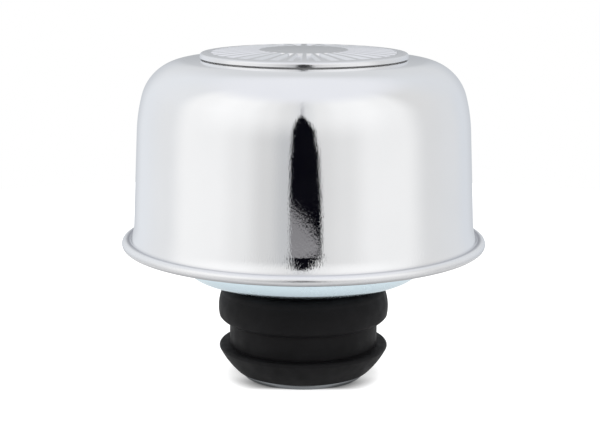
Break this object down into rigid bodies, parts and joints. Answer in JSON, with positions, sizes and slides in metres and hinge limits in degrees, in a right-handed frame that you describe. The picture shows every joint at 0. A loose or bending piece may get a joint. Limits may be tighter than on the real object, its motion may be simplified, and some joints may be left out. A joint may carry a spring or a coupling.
{
  "type": "crankcase breather filter",
  "caption": "Push-in crankcase breather cap: chrome shell over a plated pan with filter pack, and a grooved rubber grommet on its neck.",
  "frame": {"origin": "centre of the foot flange's lower face, where the neck stands on a table", "axes": "+Z is the axis of revolution, from the foot of the neck to the crown; -Y faces the camera of the picture"},
  "size_m": [0.0762, 0.0762, 0.0693],
  "materials": {
    "shell_chrome": "polished",
    "badge_chrome": "polished",
    "adhesive_pad": "matt",
    "zinc_plate": "bright zinc plate",
    "grommet_rubber": "satin",
    "plain_steel": "satin",
    "knitted_wire": "knitted wire",
    "filter_foam": "open-cell foam"
  },
  "bodies": {
    "root": {"outer_shell": "shell_chrome", "top_badge": "badge_chrome", "badge_adhesive_pad": "adhesive_pad", "base_pan": "zinc_plate", "neck_tube": "zinc_plate", "neck_clamp_ring": "zinc_plate", "neck_grommet": "grommet_rubber", "splash_baffle": "plain_steel", "baffle_rivets": "plain_steel", "lower_screen": "plain_steel", "wire_mesh_pad": "knitted_wire", "foam_pad": "filter_foam", "upper_screen": "plain_steel", "spacer_sleeve": "plain_steel", "centre_bolt": "plain_steel", "lower_washer": "plain_steel", "upper_washer": "plain_steel", "centre_nut": "plain_steel", "bracket_rear": "zinc_plate", "bracket_left": "zinc_plate", "bracket_right": "zinc_plate", "bracket_rivets": "plain_steel"}
  },
  "joints": []
}
